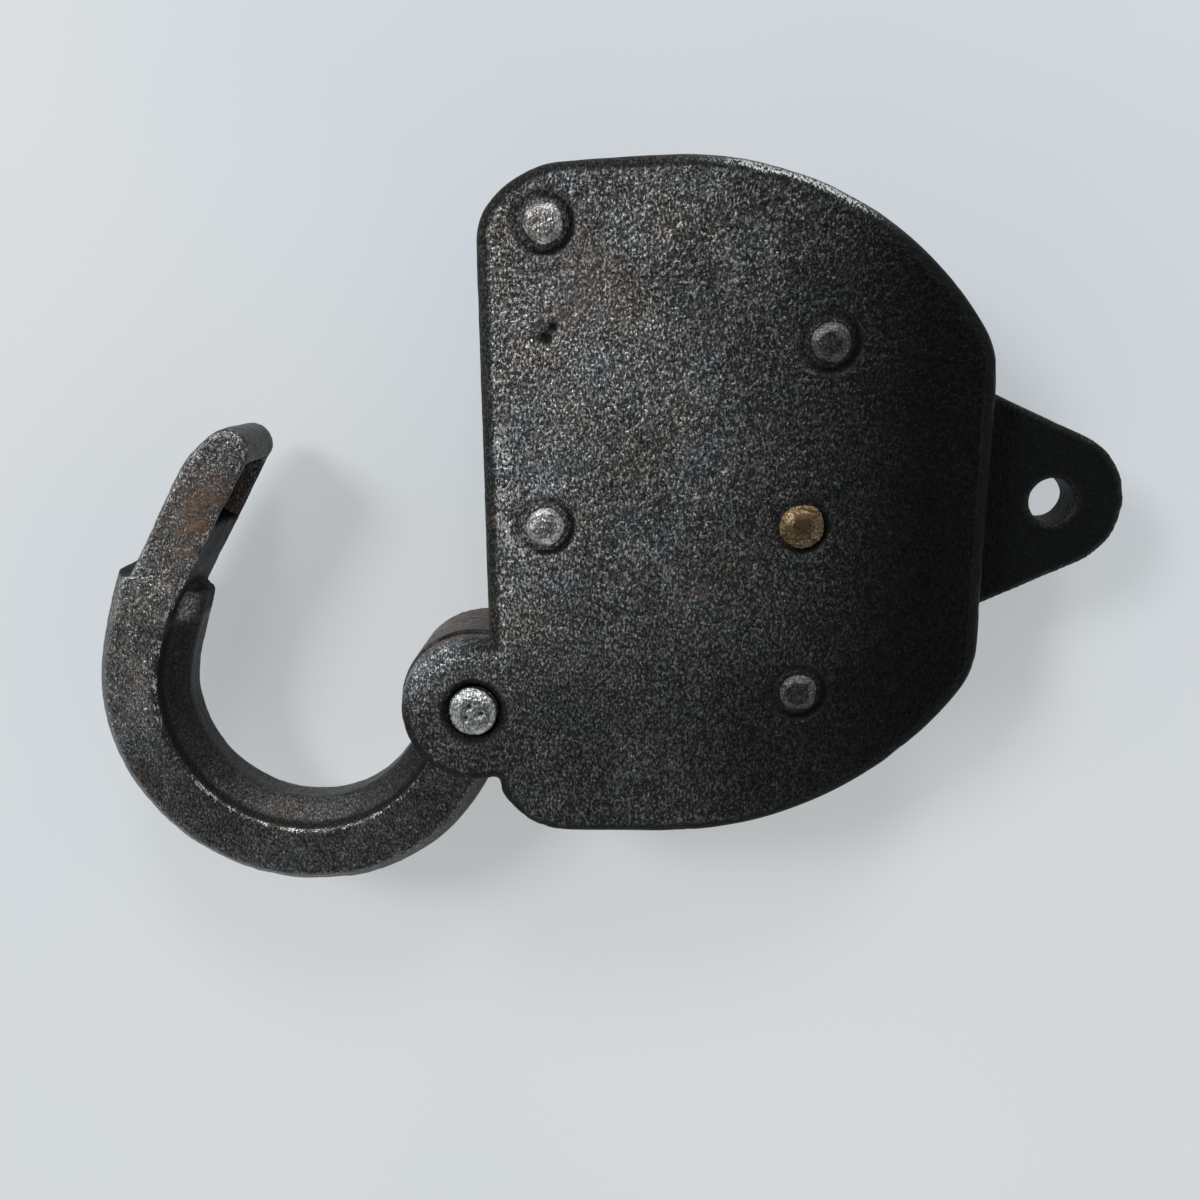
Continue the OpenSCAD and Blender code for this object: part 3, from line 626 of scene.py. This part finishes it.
def make_pin():
    """The hinge pin's end: a low grainy dome with three small punch marks, a little askew in its recess."""
    s = Skin("hinge_pin", 0.13)
    x, y, _ = centre("hinge_pin")
    radius = min(size_of("hinge_pin")[0] / 2, 2.95)
    p = s.points
    away = np.hypot(p[:, 0] - x, p[:, 1] - y)
    cap = ramp(p[:, 2], FACE - 0.9, FACE - 0.5)
    push = np.zeros_like(p)
    lean = 0.06 * (p[:, 0] - x) - 0.08 * (p[:, 1] - y)
    push[:, 2] = cap * (0.25 - 0.70 * (away / radius) ** 4 + lean)
    push[:, 0] = -0.01 * cap * (p[:, 0] - x) - 0.14 * cap
    push[:, 1] = -0.01 * cap * (p[:, 1] - y) - 0.04 * cap
    s.move(push)
    p = s.points
    marks = sum(blob(p, x + dx, y + dy, 0.32) for dx, dy in ((-0.45, 0.75), (0.95, -0.1), (-0.9, -0.65)))
    s.move((0.06 * rough(p, 1.1, 301) + 0.04 * rough(p, 0.4, 303) - 0.30 * marks) * cap)
    s.smooth(1)
    p = s.points
    rim = ramp(away, radius * 0.85, radius * 1.05)
    # painted highlight on the dome, less towards its rim; painted shade in the punch marks and down in the
    # recess
    s.paint("painted_sheen", cap * (1.0 - 0.4 * rim) * (1 - np.clip(marks, 0, 1)))
    s.paint("wear", cap * (0.52 - 0.38 * rim) * (1 + 0.2 * rough(p, 1.0, 305)) * (1 - np.clip(marks, 0, 1)))
    s.paint("rust", 0.25 * ramp(rough(p, 0.9, 309), 0, 0.8))
    s.paint("painted_shade", np.clip(marks, 0, 1) * 0.8 + 0.8 * (1 - cap))
    s.finish("case", PEENED, "worn_steel")


make_pin()


# ---------------------------------------------------------------- the shackle

def make_shackle():
    """Forged bar: a flat face with a sharp worn crest along its inside, and a groove below it."""
    s = Skin("shackle", 0.27)
    bow = HINGE + (-21.9, 0.7)
    p = s.points
    from_hinge = np.hypot(p[:, 0] - HINGE[0], p[:, 1] - HINGE[1])
    loose = ramp(from_hinge, 8.6, 11.0)
    crest = ramp(s.bend(1), 0.18, 0.45)
    s.smooth(4, keep=1 - loose)
    p = s.points
    from_bow = np.hypot(p[:, 0] - bow[0], p[:, 1] - bow[1])
    up = ramp(s.normals[:, 2], 0.3, 0.9)
    dimple = bow + (11.6, -15.1)
    dent = 0.09 * rough(p, 7, 401) + 0.05 * rough(p, 2.6, 405) + 0.03 * rough(p, 1.0, 409)
    dent += (0.22 * blob(p, *dimple, 0.45) - 0.40 * blob(p, *dimple, 1.3)) * up
    shoulder = bow + (-20.5, 9.0)
    dent += 0.35 * blob(p, *shoulder, 5, 3.5, 65) * (1 - up) * ramp(p[:, 2], FACE - 5, FACE - 7)
    s.move(dent * loose)
    p = s.points
    # beyond is past the shoulder and ring the curved bow; ledge and groove run along the bow's inside,
    # and flank along its outside
    beyond = ramp(p[:, 1], shoulder[1] - 1, shoulder[1] + 1) * ramp(p[:, 0], bow[0] + 2, bow[0] - 4)
    ring = (1 - beyond) * ramp(from_hinge, 9.2, 10.2)
    ledge = ramp(from_bow, 18.3, 17.6) * ring
    groove = ramp(np.abs(from_bow - 17.1), 1.0, 0.3) * ring
    flank = ramp(from_bow, 23.5, 24.3) * ring
    ragged = ramp(rough(p, 1.3, 431), -0.5, 0.4)
    low_bow = blob(p, *(bow + (-2, -19)), 15, 8)
    left_bow = blob(p, *(bow + (-20, 2)), 5, 11)
    inward = ramp(s.normals[:, 0], -0.1, 0.25)
    on_crest = crest * np.maximum(ramp(from_bow, 19.6, 18.6) * ring, beyond * inward)
    on_crest *= ramp(p[:, 2], FACE - 5.5, FACE - 4)
    wear = on_crest * ragged * np.clip(0.30 + 0.35 * low_bow + 0.25 * left_bow + 0.15 * beyond, 0, 1)
    wear += 0.6 * blob(p, *(bow + (-11, -12.2)), 1.4, 0.7, -40) * ragged * ledge
    wear += 0.35 * blob(p, *(bow + (-19, 8)), 3.5, 4, 0) * up * ragged
    # painted highlight: faces that look up are painted brighter, most on the left bow and past the shoulder,
    # with a little on the ledge, the tongue's end facet and the knuckle's streaks
    painted_sheen = up * (0.23 + 0.58 * left_bow + 0.10 * low_bow + 0.45 * beyond) * (0.9 + 0.3 * rough(p, 3.5, 433))
    painted_sheen = painted_sheen * (1 - ledge) + ledge * (0.06 + 0.30 * low_bow) + 0.05
    painted_sheen += 0.12 * beyond * (1 - up) * ramp(p[:, 1], shoulder[1] + 17, shoulder[1] + 20)
    along = shoulder + (11.0, 12.0)
    tan = blob(p, *(shoulder + (10.2, 4.3)), 2.0, 1.8) * (1 - 0.6 * up)
    rust = 0.85 * blob(p, *along, 2.6, 4.6, -28) * up + 0.40 * blob(p, *(along + (-1, 1)), 6, 10, -28) * up
    rust += 1.2 * tan
    rust += 0.25 * ramp(rough(p, 5, 437), 0.0, 0.9)
    knuckle = ramp(from_hinge, 9.9, 9.0)
    streaks = ramp(rough(p * (0.25, 0.25, 2.2), 3, 441), -0.4, 0.7)
    rust = np.maximum(rust, knuckle * (0.40 + 0.50 * streaks))
    # painted shade on the ledge, in the groove, on the outer flank and on the tongue's sides; left off the
    # tan rust and the worn crest, and lessened on the knuckle
    painted_shade = np.maximum(0.55 * ledge * (1 - 0.5 * low_bow), 0.95 * groove * (1 - up))
    painted_shade = np.maximum(painted_shade, 0.70 * flank * (1 - up))
    tip = ramp(p[:, 1], shoulder[1] + 16, shoulder[1] + 19)
    painted_shade = np.maximum(painted_shade, beyond * (1 - up) * (0.85 - 0.35 * tip)) * (1 - tan)
    s.paint("painted_sheen", painted_sheen * (1 - knuckle) + 0.30 * knuckle * streaks)
    s.paint("wear", wear * (1 - knuckle))
    s.paint("rust", rust)
    s.paint("painted_shade", painted_shade * (1 - 0.7 * knuckle) * (1 - on_crest))
    s.finish("shackle", FORGED, "forged_steel")


make_shackle()


# ---------------------------------------------------------------- pieces that keep their CAD shape

def plain(node, material):
    """A CAD node that is shown as it is, with a finished material."""
    mesh = frame["nodes"][node].data
    mesh.materials.clear()
    mesh.materials.append(material)


for node in ("bolt", "bolt_guide_pin", "spring_rivet", "marked_side_ward", "keyhole_side_ward",
             "keyhole_cover", "cover_rivet", "cover_washer"):
    plain(node, INNER)
plain("bolt_spring", SPRING)


# ---------------------------------------------------------------- table, light and camera

def table_top():
    bpy.ops.mesh.primitive_plane_add(size=6, location=(0, 0, 0))
    table = bpy.context.object
    table.name = "table"
    n = Nodes("pale_table")
    tone = n.blend(n.step(n.noise(160, 2), 0.3, 0.7), (0.385, 0.415, 0.44), (0.425, 0.435, 0.44))
    n.set(Base_Color=tone, Roughness=0.6, Specular_IOR_Level=0.1, Emission_Color=tone)
    seen = n.tree.nodes.new("ShaderNodeLightPath")
    direct = n.math("MAXIMUM", seen.outputs["Is Camera Ray"], seen.outputs["Is Glossy Ray"])
    direct = n.math("MAXIMUM", direct, seen.outputs["Is Transmission Ray"])
    n.set(Emission_Strength=n.math("MULTIPLY", direct, 0.85))
    table.data.materials.append(n.material)


def lamp(name, place, target, width, height, power, colour):
    light = bpy.data.lights.new(name, "AREA")
    light.shape = "RECTANGLE"
    light.size, light.size_y = width, height
    light.energy = power
    light.color = colour
    thing = bpy.data.objects.new(name, light)
    thing.location = place
    thing.rotation_euler = (Vector(target) - Vector(place)).to_track_quat("-Z", "Y").to_euler()
    bpy.context.scene.collection.objects.link(thing)


def sky(strength, overhead, colour):
    """A room whose pale walls light the table from all round, under a dark ceiling."""
    world = bpy.data.worlds.new("soft_room")
    bpy.context.scene.world = world
    world.use_nodes = True
    tree = world.node_tree
    background = tree.nodes["Background"]
    background.inputs["Color"].default_value = (*colour, 1)
    where = tree.nodes.new("ShaderNodeTexCoord")
    apart = tree.nodes.new("ShaderNodeSeparateXYZ")
    height = tree.nodes.new("ShaderNodeMapRange")
    height.interpolation_type = "SMOOTHSTEP"
    height.inputs["From Min"].default_value = 0.15
    height.inputs["From Max"].default_value = 0.85
    height.inputs["To Min"].default_value = strength
    height.inputs["To Max"].default_value = overhead
    tree.links.new(where.outputs["Generated"], apart.inputs[0])
    tree.links.new(apart.outputs["Z"], height.inputs["Value"])
    tree.links.new(height.outputs[0], background.inputs["Strength"])


def camera():
    data = bpy.data.cameras.new("camera")
    data.sensor_width = 36
    data.lens = 34.5
    data.clip_start = 0.005
    data.clip_end = 20
    thing = bpy.data.objects.new("camera", data)
    right = Vector((0.9991, -0.0087, -0.0422))
    up = Vector((-0.0016, 0.9713, -0.2380))
    back = right.cross(up).normalized()
    up = back.cross(right).normalized()
    turn = Matrix((right.normalized(), up, back)).transposed()
    thing.matrix_world = Matrix.Translation(Vector((6.73, 26.41, FACE + 127.8)) * MM) @ turn.to_4x4()
    bpy.context.scene.collection.objects.link(thing)
    bpy.context.scene.camera = thing


def aim(azimuth, elevation, distance):
    """The place at that distance from the origin, with both angles in degrees."""
    a, e = math.radians(azimuth), math.radians(elevation)
    level = distance * math.cos(e)
    return (level * math.cos(a), level * math.sin(a), distance * math.sin(e))


table_top()
lamp("window", aim(142, 44, 1.5), (0, 0, 0), 0.4, 0.4, 9.5, (0.98, 0.99, 1.0))
lamp("north_light", aim(84, 30, 1.5), (0, 0, 0), 0.35, 0.35, 6, (1.0, 1.0, 0.99))
sky(1.15, 0.10, (0.97, 0.99, 1.0))
camera()
bpy.context.scene.view_settings.view_transform = "Standard"
